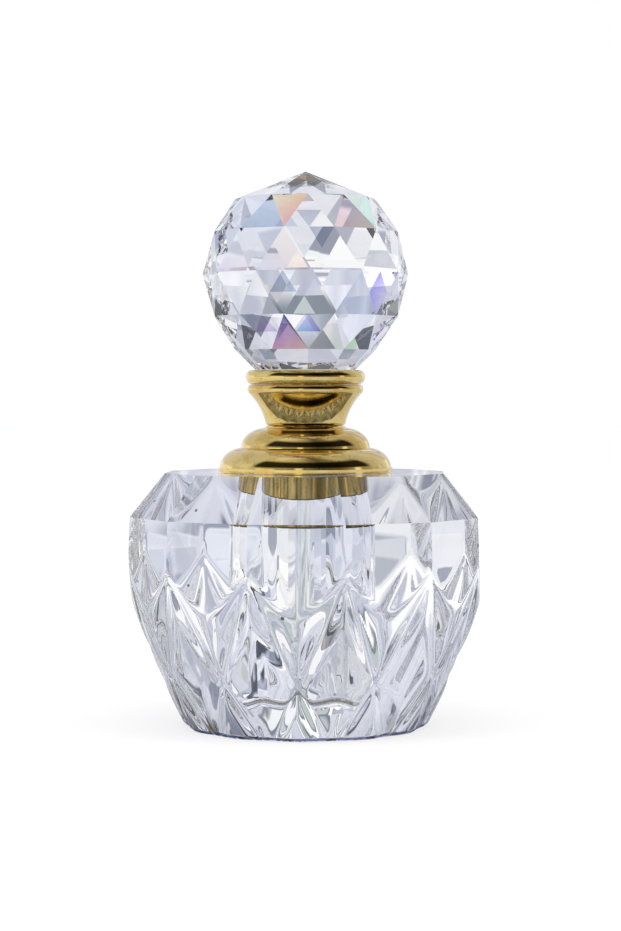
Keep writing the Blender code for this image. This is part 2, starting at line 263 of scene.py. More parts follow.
def coordinates(tree, kind="Object"):
    """One kind of coordinates, whole and as a list of X, Y and Z."""
    place = add_node(tree, "ShaderNodeTexCoord").outputs[kind]
    return place, add_node(tree, "ShaderNodeSeparateXYZ", {"Vector": place}).outputs[:]


def flattened(tree, x, y):
    """A place with no height, so that what it feeds runs upright."""
    return add_node(tree, "ShaderNodeCombineXYZ", {"X": x, "Y": y}).outputs[0]


def length_of(tree, vector):
    """The length of a vector."""
    return add_node(tree, "ShaderNodeVectorMath", {0: vector}, operation="LENGTH").outputs["Value"]


def maths(tree, operation, first, second):
    """The result of one operation on two numbers or sockets."""
    return add_node(tree, "ShaderNodeMath", {0: first, 1: second}, operation=operation).outputs[0]


def times(tree, first, second):
    """Two numbers or sockets multiplied."""
    return maths(tree, "MULTIPLY", first, second)


def rise(tree, value, low, high):
    """A smooth step from nought to one between two values; it falls where the first is the larger."""
    return add_node(
        tree, "ShaderNodeMapRange", {"Value": value, "From Min": low, "From Max": high},
        interpolation_type="SMOOTHSTEP",
    ).outputs["Result"]


def band(tree, value, low, high, soft):
    """One between two values and nought outside them, with soft edges."""
    return times(
        tree, rise(tree, value, low - soft, low + soft), rise(tree, value, high + soft, high - soft)
    )


def span(tree, value, low, high, source=(0.0, 1.0)):
    """A value from one range, nought to one unless given, stretched to another."""
    return add_node(
        tree, "ShaderNodeMapRange",
        {"Value": value, "From Min": source[0], "From Max": source[1], "To Min": low, "To Max": high},
    ).outputs["Result"]


def noise(tree, place, scale, detail=2.0, roughness=0.5):
    """A noise in space."""
    sockets = {"Vector": place, "Scale": scale, "Detail": detail, "Roughness": roughness}
    return add_node(tree, "ShaderNodeTexNoise", sockets).outputs["Fac"]


def noise_along(tree, value, detail):
    """A noise along one coordinate."""
    sockets = {"W": value, "Detail": detail}
    return add_node(tree, "ShaderNodeTexNoise", sockets, noise_dimensions="1D").outputs["Fac"]


def cells(tree, place, scale, smoothness):
    """A number for each cell of space, with soft borders."""
    sockets = {"Vector": place, "Scale": scale, "Smoothness": smoothness}
    pattern = add_node(tree, "ShaderNodeTexVoronoi", sockets, feature="SMOOTH_F1")
    split = add_node(tree, "ShaderNodeSeparateColor", {"Color": pattern.outputs["Color"]})
    return split.outputs[0]


def relief(tree, strength, distance, height):
    """The normal of a skin with fine relief."""
    sockets = {"Strength": strength, "Distance": distance, "Height": height}
    return add_node(tree, "ShaderNodeBump", sockets).outputs["Normal"]


def mixed(tree, factor, first, second, blend="MIX"):
    """Two colours, mixed or multiplied."""
    return add_node(
        tree, "ShaderNodeMix", {0: factor, 6: first, 7: second}, data_type="RGBA", blend_type=blend
    ).outputs[2]


def tone_ramp(tree, value, stops):
    """The colours of a ramp, its stops given as places and hex colours."""
    node = add_node(tree, "ShaderNodeValToRGB", {"Fac": value})
    elements = node.color_ramp.elements
    elements.remove(elements[-1])
    elements[0].position, elements[0].color = stops[0][0], linear(stops[0][1])
    for place, code in stops[1:]:
        elements.new(place).color = linear(code)
    return node.outputs["Color"]


# Materials


def polished_crystal():
    """K9 optical crystal, cut and polished: clear, with sharp reflections, and with pale fire and grey
    reflections painted into its colour in places.
    """
    material, tree, output = new_material("k9_crystal_polished")
    painted_light = add_node(tree, "ShaderNodeAttribute", attribute_name="painted_light")
    principled(tree, output, {
        "Base Color": painted_light.outputs["Color"], "Roughness": 0.015, "IOR": CRYSTAL_IOR,
        "Transmission Weight": 1.0,
    })
    return material


def pressed_crystal():
    """K9 crystal, pressed and fire polished below its peaks, where the skin waves a little."""
    material, tree, output = new_material("k9_crystal_pressed")
    place, (x, y, z) = coordinates(tree)
    flat = flattened(tree, x, y)
    off_axis = length_of(tree, flat)
    below_peaks, outer = rise(tree, z, 22.5 * MM, 18 * MM), rise(tree, off_axis, 8 * MM, 11 * MM)
    waves = times(
        tree, noise(tree, place, scale=210.0, detail=1.0, roughness=0.4),
        times(tree, below_peaks, outer),
    )
    # Upright marks that the plunger left on the wall of the bore
    plunger = noise(tree, flat, scale=330.0, detail=0.5)
    in_bore = times(tree, rise(tree, off_axis, 6.4 * MM, 6.1 * MM), rise(tree, z, 8 * MM, 11 * MM))
    marks = times(tree, times(tree, plunger, in_bore), PLUNGER_MARKS)
    # Seed and dust in the glass, seen as a few dark specks
    seed = add_node(tree, "ShaderNodeTexVoronoi", {"Vector": place, "Scale": 130.0})
    speck = rise(tree, seed.outputs["Distance"], 0.045, 0.03)
    clear = mixed(tree, speck, linear("#FDFDFD"), linear("#3A3A40"))
    # A dark blue line is painted along the ground edge of the base: a painted reflection of the dark
    # underside and painted contact shade
    edge = band(tree, z, 0.1 * MM, 0.5 * MM, 0.05 * MM)
    principled(tree, output, {
        "Base Color": mixed(tree, edge, clear, linear("#4A5688")), "Roughness": 0.0,
        "IOR": CRYSTAL_IOR, "Transmission Weight": 1.0,
        "Normal": relief(tree, 0.5, 0.1 * MM, maths(tree, "ADD", waves, marks)),
    })
    return material


def gilt(name, colour, worn, low, high, marks, mark_depth, streaked=False):
    """Gold plate on turned brass: turning marks, dust in the lacquer, and tone that drifts."""
    material, tree, output = new_material(name)
    place, (x, y, z) = coordinates(tree)
    turning = noise_along(tree, times(tree, z, marks), detail=3.0)
    dust = noise(tree, place, scale=2600.0)
    drift = noise(tree, place, scale=240.0, detail=3.0)
    tone = mixed(tree, rise(tree, drift, 0.4, 0.7), (*colour, 1), (*worn, 1))
    tone = mixed(tree, rise(tree, dust, 0.66, 0.72), tone, linear("#8A7A52"))
    if streaked:
        # Darker upright streaks down the skirt, and its foot much darker
        streak_noise = noise(tree, flattened(tree, x, y), scale=480.0, detail=0.8)
        upright_streaks = tone_ramp(tree, streak_noise, [
            (0.3, "#8A8678"), (0.4, "#FFFFFF"), (0.47, "#9A9684"), (0.53, "#FFFFF6"), (0.6, "#C4C0B0"),
            (0.7, "#7C7866"),
        ])
        tone = mixed(tree, 1.0, tone, upright_streaks, "MULTIPLY")
        tone = mixed(tree, rise(tree, z, 29.55 * MM, 29.35 * MM), tone, linear("#4A3E2A"))
    height = maths(tree, "ADD", times(tree, turning, mark_depth), times(tree, dust, 0.25))
    principled(tree, output, {
        "Base Color": tone, "Metallic": 1.0, "Roughness": span(tree, drift, low, high),
        "Normal": relief(tree, 0.35, 0.004 * MM, height),
    })
    return material


def plated_gold(finish):
    """Mirror polished: reads as a bright, pale olive gold with the finest of marks and dust."""
    return gilt(
        "gold_plate_on_turned_brass", finish.gold, finish.worn_gold, low=0.02, high=0.05,
        marks=9000.0, mark_depth=0.5,
    )


def dull_gold(finish):
    """Left as turned where the collar and the glass hide it: duller, with deeper marks."""
    return gilt(
        "gold_plate_as_turned", finish.dull_gold, finish.worn_gold, low=0.08, high=0.16,
        marks=5000.0, mark_depth=1.0, streaked=True,
    )


def soft_polyethylene(finish):
    """Low density polyethylene, moulded: milky, faintly clouded, with a fine orange peel."""
    material, tree, output = new_material("polyethylene_moulded")
    place = add_node(tree, "ShaderNodeTexCoord").outputs["Object"]
    cloud = noise(tree, place, scale=500.0, detail=3.0)
    peel = noise(tree, place, scale=2400.0)
    darker = tuple(channel * 0.88 for channel in finish.plastic)
    principled(tree, output, {
        "Base Color": mixed(tree, rise(tree, cloud, 0.35, 0.65), (*darker, 1), (*finish.plastic, 1)),
        "Roughness": span(tree, cloud, 0.36, 0.5), "IOR": PLAIN_IOR, "Subsurface Weight": 0.6,
        "Subsurface Scale": 1.0 * MM, "Normal": relief(tree, 0.3, 0.01 * MM, peel),
    })
    return material


def drawn_glass():
    """Soda glass rod, drawn and flame polished: faint draw lines along it, and a trace of green."""
    material, tree, output = new_material("soda_glass_drawn")
    x, y = coordinates(tree)[1][:2]
    draw = noise_along(tree, times(tree, maths(tree, "ARCTAN2", x, y), 5.0), detail=2.0)
    principled(tree, output, {
        "Base Color": tone_ramp(tree, draw, [(0.4, "#F2F8F4"), (0.6, "#FBFDFC")]),
        "Roughness": span(tree, draw, 0.0, 0.03), "IOR": PLAIN_IOR, "Transmission Weight": 1.0,
        "Normal": relief(tree, 0.3, 0.02 * MM, draw),
    })
    return material


# Sizes and colours that a user would change


def size_setting(name, description, default):
    """A setting in metres."""
    return bpy.props.FloatProperty(
        name=name, description=description, default=default, unit="LENGTH"
    )


def colour_setting(name, description, code):
    """A setting that is a colour, from an sRGB hex code."""
    return bpy.props.FloatVectorProperty(
        name=name, description=description, default=linear(code)[:3], subtype="COLOR"
    )


class CrystalSizes(bpy.types.PropertyGroup):
    """Sizes of the cut crystal, to the corners of its facets."""

    body_height: size_setting("Body height", "From the base to the rim", 0.037)
    rim_radius: size_setting("Rim radius", "Corner of the flat top", 0.0208)
    girdle_radius: size_setting("Girdle radius", "Corner where the shoulder starts", 0.0259)
    girdle_height: size_setting("Girdle height", "Foot of the shoulder", 0.0307)
    peak_radius: size_setting("Peak radius", "Corner where two cuts start", 0.0262)
    peak_height: size_setting("Peak height", "Where two cuts start", 0.023)
    base_radius: size_setting("Base radius", "Middle of a base edge", 0.01735)
    ball_radius: size_setting("Ball radius", "Corners of the ball", 0.015)


class MetalSizes(bpy.types.PropertyGroup):
    """Sizes of the turned metal."""

    skirt_radius: size_setting("Skirt radius", "Ferrule in the bore", 0.00595)
    core_radius: size_setting("Thread core", "Neck between the turns", 0.0041)
    thread_pitch: size_setting("Thread pitch", "Rise of the cap in a turn", 0.0015)
    collar_radius: size_setting("Collar radius", "Lower dome of the collar", 0.0125)
    seam_radius: size_setting("Seam radius", "Where cap and seat meet", 0.00795)


class FinishColours(bpy.types.PropertyGroup):
    """Colours of the finishes."""

    gold: colour_setting("Gold", "Polished plate", "#E8CE84")
    worn_gold: colour_setting("Worn gold", "Where the plate is thin", "#D8B764")
    dull_gold: colour_setting("Dull gold", "Hidden plate", "#D6BC7A")
    plastic: colour_setting("Plastic", "Natural polyethylene", "#EDEDE6")


class StudioSettings(bpy.types.PropertyGroup):
    """Where the photographer stands."""

    distance: size_setting("Distance", "Camera to the axis", 0.338)
    height: size_setting("Height", "Camera over the table", 0.049)
    turn: bpy.props.FloatProperty(
        name="Turn", description="Camera to the right of the front", default=radians(2.85),
        unit="ROTATION",
    )


# Pieces


def arc_radius(sizes, height):
    """Corner radius of the taper at some heights: a flat arc that bulges between peak and base."""
    peak, foot = sizes.peak_radius * TO_CORNER, sizes.base_radius * TO_CORNER
    chord = hypot(peak - foot, sizes.peak_height)
    reach = (TAPER_ARC**2 - chord**2 / 4) ** 0.5 / chord
    middle_x = (peak + foot) / 2 - reach * sizes.peak_height
    middle_z = sizes.peak_height / 2 + reach * (peak - foot)
    return middle_x + np.sqrt(TAPER_ARC**2 - (height - middle_z) ** 2)


def soft_max(first, second, blend):
    """The larger of two distances, with the step between them rounded over a length."""
    near = np.clip(1 - np.abs(first - second) / blend, 0, 1)
    return np.maximum(first, second) + near * near * blend / 4


def point_round(radius, angle, height):
    """A point at a radius, an angle about Z and a height."""
    return Vector((radius * cos(angle), radius * sin(angle), height))


def mitre_wall(point, start, end, beyond, facet):
    """How far points lie inside a V cut that runs from start to end and a little beyond start."""
    along = (end - start).normalized()
    across = along.cross(point_round(1.0, facet, 0.0)).normalized()
    outward = across.cross(along)
    offset = point - np.array(start)[:, None]
    aside = np.sqrt((np.array(across) @ offset) ** 2 + MITRE_ROUND**2)
    depth = np.array(outward) @ offset
    wall = depth * sin(MITRE_HALF_ANGLE) - aside * cos(MITRE_HALF_ANGLE)
    return -soft_max(-wall, -(np.array(along) @ offset) - beyond, END_BLEND)


def outside_by(sizes, radius, angle, height):
    """How far points lie outside the cut body, between the middle and the corner of one facet."""
    point = np.stack([radius * np.cos(angle), radius * np.sin(angle), height])
    flare = (sizes.peak_radius - sizes.girdle_radius) / (sizes.girdle_height - sizes.peak_height)
    lean = (sizes.girdle_radius - sizes.rim_radius) / (sizes.body_height - sizes.girdle_height)
    upright = sizes.girdle_radius + flare * (sizes.girdle_height - height)
    shoulder = sizes.girdle_radius + lean * (sizes.girdle_height - height)
    crown = radius * np.cos(angle) - np.minimum(upright, shoulder) * cos(HALF_FACET)
    chamfer = sizes.base_radius + height * BASE_CHAMFER_SLOPE - BASE_CHAMFER
    limit = np.minimum(arc_radius(sizes, height) * cos(HALF_FACET), chamfer)
    taper, mitre = np.full_like(radius, -1.0), np.full_like(radius, -1.0)
    for corner in (-3, -1, 1, 3):
        middle = corner * HALF_FACET
        taper = soft_max(taper, radius * np.cos(angle - middle) - limit, RIDGE_BLEND)
        peak = point_round(sizes.peak_radius - PEAK_DEPTH, middle, sizes.peak_height)
        for side in (-1, 1):
            crossing = point_round(CROSSING_RADIUS, middle + side * HALF_FACET, CROSSING_HEIGHT)
            foot = point_round(sizes.base_radius - FOOT_DEPTH, middle + side * MITRE_LEAN, 0.0)
            upper = mitre_wall(point, crossing, peak, CROSSING_OVERRUN, middle)
            beside = middle + 2 * side * HALF_FACET
            lower = mitre_wall(point, crossing, foot, CROSSING_OVERRUN, beside)
            mitre = soft_max(mitre, np.maximum(upper, lower), CROSSING_BLEND)
    return soft_max(soft_max(taper, mitre, SHOULDER_BLEND), crown, SCALLOP_BLEND)


def skin_radius(sizes, angle, height):
    """Radius of the body's skin. Every half facet is alike, so each place is worked out once."""
    folded = np.abs((angle + HALF_FACET) % (2 * HALF_FACET) - HALF_FACET)
    places = np.stack([np.round(folded, 7), np.round(height, 9)], axis=1)
    places, where = np.unique(places, axis=0, return_inverse=True)
    low, high = np.full(len(places), INNERMOST_SKIN), np.full(len(places), BLANK_RADIUS)
    for _ in range(HALVINGS):
        middle = (low + high) / 2
        out = outside_by(sizes, middle, places[:, 0], places[:, 1]) > 0
        high = np.where(out, middle, high)
        low = np.where(out, low, middle)
    return low[where.ravel()]


class BOTTLE_OT_crystal_body(bpy.types.Operator):
    """Press and cut the crystal body: facets, shoulder, mitres and bore"""

    bl_idname = "bottle.crystal_body"
    bl_label = "Crystal Body"

    def execute(self, context):
        sizes = context.scene.bottle_crystal
        top = sizes.body_height
        centre = (BORE_RADIUS - BORE_FILLET, BORE_FLOOR + BORE_FILLET)
        bend = ellipse_arc(centre, BORE_FILLET, BORE_FILLET, 0, -pi / 2, 10)
        rows = [sizes.girdle_height - COARSE_ROW * step for step in range(3)]
        fine_top = sizes.peak_height + 0.6 * MM
        rows += [fine_top * (1 - step / FINE_ROWS) for step in range(FINE_ROWS + 1)]
        profile = [(0.0, BORE_FLOOR), *bend[::-1][1:], (BORE_RADIUS, top), (BLANK_RADIUS, top)]
        profile += [(BLANK_RADIUS, height) for height in rows] + [(0.0, 0.0)]
        body = turned("cut_crystal_body", profile, BODY_STEPS)
        place = np.empty(len(body.data.vertices) * 3)
        body.data.vertices.foreach_get("co", place)
        place = place.reshape(-1, 3)
        radius, angle = np.hypot(place[:, 0], place[:, 1]), np.arctan2(place[:, 1], place[:, 0])
        # The plunger was a many-sided prism with faint corners
        bore = (radius < BORE_RADIUS + MM) & (place[:, 2] > BORE_FLOOR - MM)
        side = pi / BORE_SIDES
        flattening = 1 - cos(side) / np.cos(angle[bore] % (2 * side) - side)
        place[bore, :2] *= (1 - radius[bore] / BORE_RADIUS * flattening)[:, None]
        skin = radius > BLANK_RADIUS - MM
        reach = skin_radius(sizes, angle[skin], place[skin, 2])
        place[skin, 0] = reach * np.cos(angle[skin])
        place[skin, 1] = reach * np.sin(angle[skin])
        body.data.vertices.foreach_set("co", place.ravel())
        body.data.update()
        finish_piece(body, pressed_crystal(), "bottle", "crystal_body", radians(180))
        mark_facet_edges(body, sizes)
        polish_cuts(body, sizes)
        return {"FINISHED"}


def mark_facet_edges(body, sizes):
    """Keep the cut and polished edges sharp: rim, girdle, upright corners, bore and base."""
    levels = (0.0, sizes.girdle_height, sizes.body_height)
    above_peaks = sizes.peak_height + 0.2 * MM
    shape = bmesh.new()
    shape.from_mesh(body.data)
    for edge in shape.edges:
        first, last = (corner.co for corner in edge.verts)
        radius, foot = min(first.xy.length, last.xy.length), min(first.z, last.z)
        turn = atan2(first.y, first.x)
        facet_corner = abs((turn / HALF_FACET) % 2 - 1) < 0.01
        bore_corner = abs((turn * BORE_SIDES / 2 / pi + 0.5) % 1 - 0.5) < 0.01
        if abs(first.z - last.z) < MERGE_DISTANCE:
            on_level = any(abs(first.z - height) < MERGE_DISTANCE for height in levels)
            sharp = on_level and radius > 4 * MM
        else:
            sharp = facet_corner and foot > above_peaks and radius > 10 * MM
            sharp = sharp or (bore_corner and 5.5 * MM < radius < 7 * MM)
        if sharp:
            edge.smooth = False
    shape.to_mesh(body.data)
    shape.free()


def polish_cuts(body, sizes):
    """Set the normals of the pressed part from the true surface, so that no facet of the mesh shows."""
    mesh = body.data
    place = np.empty(len(mesh.vertices) * 3)
    mesh.vertices.foreach_get("co", place)
    place = place.reshape(-1, 3)
    radius, height = np.hypot(place[:, 0], place[:, 1]), place[:, 2]
    soft = (radius > 12 * MM) & (height > 0.4 * MM) & (height < sizes.peak_height - 0.1 * MM)
    angle, height, radius = np.arctan2(place[soft, 1], place[soft, 0]), height[soft], radius[soft]
    # Slopes round the body and up it, from the skin a little to each side
    step = 0.03 * MM
    turn = step / (20 * MM)
    around = skin_radius(sizes, angle + turn, height) - skin_radius(sizes, angle - turn, height)
    up = skin_radius(sizes, angle, height + step) - skin_radius(sizes, angle, height - step)
    around, up = around / (2 * turn) / radius, up / (2 * step)
    slopes = np.stack([
        np.cos(angle) + around * np.sin(angle), np.sin(angle) - around * np.cos(angle), -up
    ], axis=1)
    normals = np.zeros((len(place), 3))
    normals[soft] = slopes / np.linalg.norm(slopes, axis=1)[:, None]
    corners = np.empty(len(mesh.loops), dtype=np.int64)
    mesh.loops.foreach_get("vertex_index", corners)
    shown = np.empty(len(mesh.loops) * 3)
    mesh.corner_normals.foreach_get("vector", shown)
    shown = shown.reshape(-1, 3)
    shown[soft[corners]] = normals[corners][soft[corners]]
    mesh.normals_split_custom_set(shown.tolist())


class BOTTLE_OT_crystal_ball(bpy.types.Operator):
    """Cut the faceted crystal ball"""

    bl_idname = "bottle.crystal_ball"
    bl_label = "Crystal Ball"

    def execute(self, context):
        radius = context.scene.bottle_crystal.ball_radius
        foot_radius, foot = 7.3 * MM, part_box("ball_seat")[1].z + 0.05 * MM
        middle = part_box("crystal_ball")[1].z - radius
        rings = [
            (radius * cos(radians(angle)), radius * sin(radians(angle)), turn)
            for angle, turn in ((47, 0), (24, 1), (0, 0), (-24, 1), (-47, 0))
        ]
        rings.append((foot_radius, foot - middle, 0))
        clear_selection()
        bpy.ops.mesh.primitive_circle_add(vertices=FACETS, radius=MM, location=(0, 0, 0))
        ball = bpy.context.object
        ball.name = ball.data.name = "faceted_crystal_ball"
        bpy.ops.object.mode_set(mode="EDIT")
        bpy.ops.mesh.merge(type="CENTER")
        bpy.ops.transform.translate(value=(0, 0, middle + radius))
        for ring_radius, height, turn in rings:
            bpy.ops.mesh.primitive_circle_add(
                vertices=FACETS, radius=ring_radius, location=(0, 0, middle + height),
                rotation=(0, 0, radians(5) + turn * HALF_FACET + pi / 2),
            )
        bpy.ops.mesh.select_all(action="SELECT")
        bpy.ops.mesh.convex_hull(face_threshold=radians(0.5))
        bpy.ops.mesh.select_all(action="SELECT")
        bpy.ops.mesh.normals_make_consistent(inside=False)
        bpy.ops.object.mode_set(mode="OBJECT")
        ball.data.color_attributes.new(name="painted_light", type="FLOAT_COLOR", domain="CORNER")
        for corner in ball.data.color_attributes["painted_light"].data:
            corner.color = linear("#FFFFFF")
        # Painted fire and grey painted reflections of the dim room, on whole facets
        paint_facet_light(ball, middle, FACET_PAINTED_LIGHT)
        # Each facet is quartered, still flat, so that painted light can fill a part of it
        bpy.ops.object.mode_set(mode="EDIT")
        bpy.ops.mesh.select_all(action="SELECT")
        bpy.ops.mesh.subdivide(number_cuts=1)
        bpy.ops.object.mode_set(mode="OBJECT")
        paint_facet_light(ball, middle, QUARTER_PAINTED_LIGHT)
        finish_piece(ball, polished_crystal(), "stopper", "crystal_ball", radians(1))
        return {"FINISHED"}


# Light painted into the ball, on whole facets and then on quarters: painted fire, and grey painted
# reflections of the dim room.
# Each row is a direction from the ball's centre, in degrees round and up, and three colours
FACET_PAINTED_LIGHT = (
    (-10, 39, "#F08C88", "#FFB070", "#FFF4B0"), (-26, 33, "#8FA6C2", "#9EB4D0", "#BCD2EA"),
    (32, 39, "#FFC4C4", "#FFE8BC", "#E6CCF8"), (53, 33, "#B0ECD6", "#D4F8EA", "#E0FBE4"),
    (-18, 9, "#F8D8CC", "#FCEEDC", "#DCDCF0"), (-44, 3, "#FBE4E0", "#E8F6F0", "#EADCF8"),
    (35, -24, "#A0AAC0", "#B4BED0", "#A8B1C6"), (-8, -39, "#D08C78", "#4454B4", "#B0688C"),
    (16, -36, "#FAF0C4", "#DCF4D4", "#FBF4EC"), (140, 35, "#FFF0A0", "#FF9A5C", "#F08C9C"),
    (-120, -10, "#5A4CF0", "#9088FF", "#CFC8FC"), (170, -34, "#7CC4FC", "#5C64E8", "#C8B8F8"),
    (-90, 36, "#98E4C8", "#C8F6E4", "#D8FBD8"), (100, -30, "#D8A8E0", "#B8B0E8", "#F0D8F0"),
)
QUARTER_PAINTED_LIGHT = (
    (14, 17, "#A8B0C6", "#B8C0D4", "#9EA6BE"), (3, 30, "#ADB3C6", "#BEC4D2", "#A5ACC2"),
    (51, -12, "#5A4CF0", "#9088FF", "#CFC8FC"), (55, -16, "#8A80FF", "#B4ACFF", "#DCD8FC"),
    (-14, -11, "#8C98B2", "#A0B0CA", "#95A2BC"), (-18, -19, "#A0A6B4", "#B0B6C4", "#A0A6B4"),
    (2, -31, "#7CC4FC", "#5C64E8", "#C8B8F8"), (-22, -34, "#D8A8E0", "#B8B0E8", "#F0D8F0"),
    (42, -45, "#94DC8C", "#D0F4C0", "#B8ECB0"), (-37, -52, "#9CA8B2", "#AEBAC4", "#9CA8B2"),
    (43, -52, "#9CA6B0", "#B0BCC4", "#9CA6B0"), (-58, 22, "#A0A8BC", "#B0B8CA", "#A0A8BC"),
    (-58, -20, "#9EACC4", "#B4C0D6", "#9EACC4"), (-5, 66, "#5C606E", "#6C7080", "#5C606E"),
    (25, 64, "#666A78", "#747888", "#666A78"), (95, 12, "#7E88A0", "#929CB4", "#868FA8"),
)


def paint_facet_light(ball, middle, rows):
    """Paint light into facets of the ball: grey for a painted reflection of the dim room, the colours
    of a spectrum for painted fire.
    """
    mesh = ball.data
    painted_light = mesh.color_attributes["painted_light"]
    centre = Vector((0, 0, middle))
    for around, up, *colours in rows:
        aim = Vector((
            sin(radians(around)) * cos(radians(up)), -cos(radians(around)) * cos(radians(up)),
            sin(radians(up)),
        ))
        facet = max(mesh.polygons, key=lambda face: (face.center - centre).normalized().dot(aim))
        for place, corner in enumerate(facet.loop_indices):
            painted_light.data[corner].color = linear(colours[place % 3])


class BOTTLE_OT_gilt_metal(bpy.types.Operator):
    """Turn the four gilt pieces: ferrule, collar, cap and ball seat"""

    bl_idname = "bottle.gilt_metal"
    bl_label = "Gilt Metal"

    def execute(self, context):
        finish, metal = context.scene.bottle_finish, context.scene.bottle_metal
        bright, dull = plated_gold(finish), dull_gold(finish)
        rim = context.scene.bottle_crystal.body_height
        neck_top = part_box("neck_ferrule")[1].z
        skirt, core, pitch = metal.skirt_radius, metal.core_radius, metal.thread_pitch
        neck_bore, skirt_bore, flange = 3.6 * MM, 4.8 * MM, 9.0 * MM
        ferrule = turned("threaded_ferrule", [
            (neck_bore, neck_top), (core - 0.2 * MM, neck_top), (core, neck_top - 0.2 * MM),
            (core, rim + 1.1 * MM), (flange, rim + 1.1 * MM), (flange, rim + 0.3 * MM),
            (skirt, rim + 0.3 * MM), (skirt, rim - 7.5 * MM), (skirt - 0.1 * MM, rim - 7.75 * MM),
            (5.6 * MM, rim - 7.85 * MM), (skirt_bore, rim - 7.7 * MM),
            (skirt_bore, rim + 0.3 * MM), (neck_bore, rim + 0.3 * MM),
        ], ROUND_STEPS, ring=True)
        crest = core + 0.38 * MM
        unite(ferrule, thread_ridge("neck_thread", [
            (core - 0.1 * MM, 0.0), (core - 0.1 * MM, 0.9 * MM), (core, 0.9 * MM),
            (crest, 0.56 * MM), (crest, 0.34 * MM), (core, 0.0),
        ], neck_top - 3.9 * MM, pitch, turns=2))
        finish_piece(ferrule, dull, "bottle", "neck_ferrule", SMOOTH_ANGLE)

        collar_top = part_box("dome_collar")[1].z
        foot, lip = rim + 0.06 * MM, collar_top + 0.24 * MM
        lower, upper = rim + 0.7 * MM, rim + 3.6 * MM
        spread, dome_height, top_angle = 3.6 * MM, 2.9 * MM, radians(81)
        edge = metal.collar_radius + 0.25 * MM
        middle, upper_middle = metal.collar_radius - spread, 5.5 * MM
        meet = acos((9.7 * MM - middle) / spread)
        outside = [
            (4.8 * MM, lip), (5.7 * MM, lip),
            (5.78 * MM, lip - 0.06 * MM), (5.84 * MM, lip - 0.19 * MM),
            *ellipse_arc((upper_middle, upper), 3.9 * MM, dome_height, top_angle, 0, 24),
            *ellipse_arc((middle, lower), spread, dome_height, meet, 0, 24),
            (edge, lower), (edge, foot),
        ]
        inside = [
            (11.9 * MM, foot), (11.9 * MM, lower),
            (9.0 * MM, upper - 0.6 * MM), (8.8 * MM, upper),
            *ellipse_arc((upper_middle, upper), 3.3 * MM, 2.3 * MM, 0, top_angle, 12)[1:],
            (4.8 * MM, collar_top - 0.6 * MM),
        ]
        collar = turned("dome_collar_shell", outside + inside, ROUND_STEPS, ring=True)
        finish_piece(collar, bright, "bottle", "dome_collar", SMOOTH_ANGLE)

        cap_low, cap_high = (corner.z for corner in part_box("bell_cap"))
        seam = metal.seam_radius
        bead = ellipse_arc((seam, cap_high - 0.7 * MM), 0.5 * MM, 0.7 * MM, pi / 2, -radians(53), 16)
        flare = circle_arc(bead[-1], (5.85 * MM, cap_low + 0.3 * MM), 9 * MM, -1, 24)
        bore, counterbore = 4.9 * MM, 5.9 * MM
        cap = turned("flared_screw_cap", [
            (counterbore, cap_high), *bead, *flare[1:],
            (5.7 * MM, cap_low + 0.1 * MM), (5.5 * MM, cap_low),
            (bore, cap_low), (bore, cap_high - 1.1 * MM), (counterbore, cap_high - 1.1 * MM),
        ], ROUND_STEPS, ring=True)
        unite(cap, thread_ridge("cap_thread", [
            (bore + 0.1 * MM, 0.0), (bore, 0.0), (bore - 0.3 * MM, 0.3 * MM),
            (bore - 0.3 * MM, 0.5 * MM), (bore, 0.8 * MM), (bore + 0.1 * MM, 0.8 * MM),
        ], cap_low + 0.5 * MM, pitch, turns=2))
        finish_piece(cap, bright, "stopper", "bell_cap", SMOOTH_ANGLE)

        seat_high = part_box("ball_seat")[1].z
        seat_low = cap_high + 0.05 * MM
        seat_middle, half_seat = (seat_low + seat_high) / 2, (seat_high - seat_low) / 2
        ring = ellipse_arc((seam, seat_middle), 0.75 * MM, half_seat, pi / 2, -pi / 2, 24)
        spigot, spigot_bore, spigot_foot = 5.6 * MM, 4.8 * MM, cap_high - 0.8 * MM
        roof = seat_high - 0.45 * MM
        seat = turned("rolled_ball_seat", [
            (0.0, seat_high), *ring, (spigot, seat_low), (spigot, spigot_foot),
            (spigot_bore, spigot_foot), (spigot_bore, roof), (0.0, roof),
        ], ROUND_STEPS)
        finish_piece(seat, bright, "stopper", "ball_seat", SMOOTH_ANGLE)
        return {"FINISHED"}


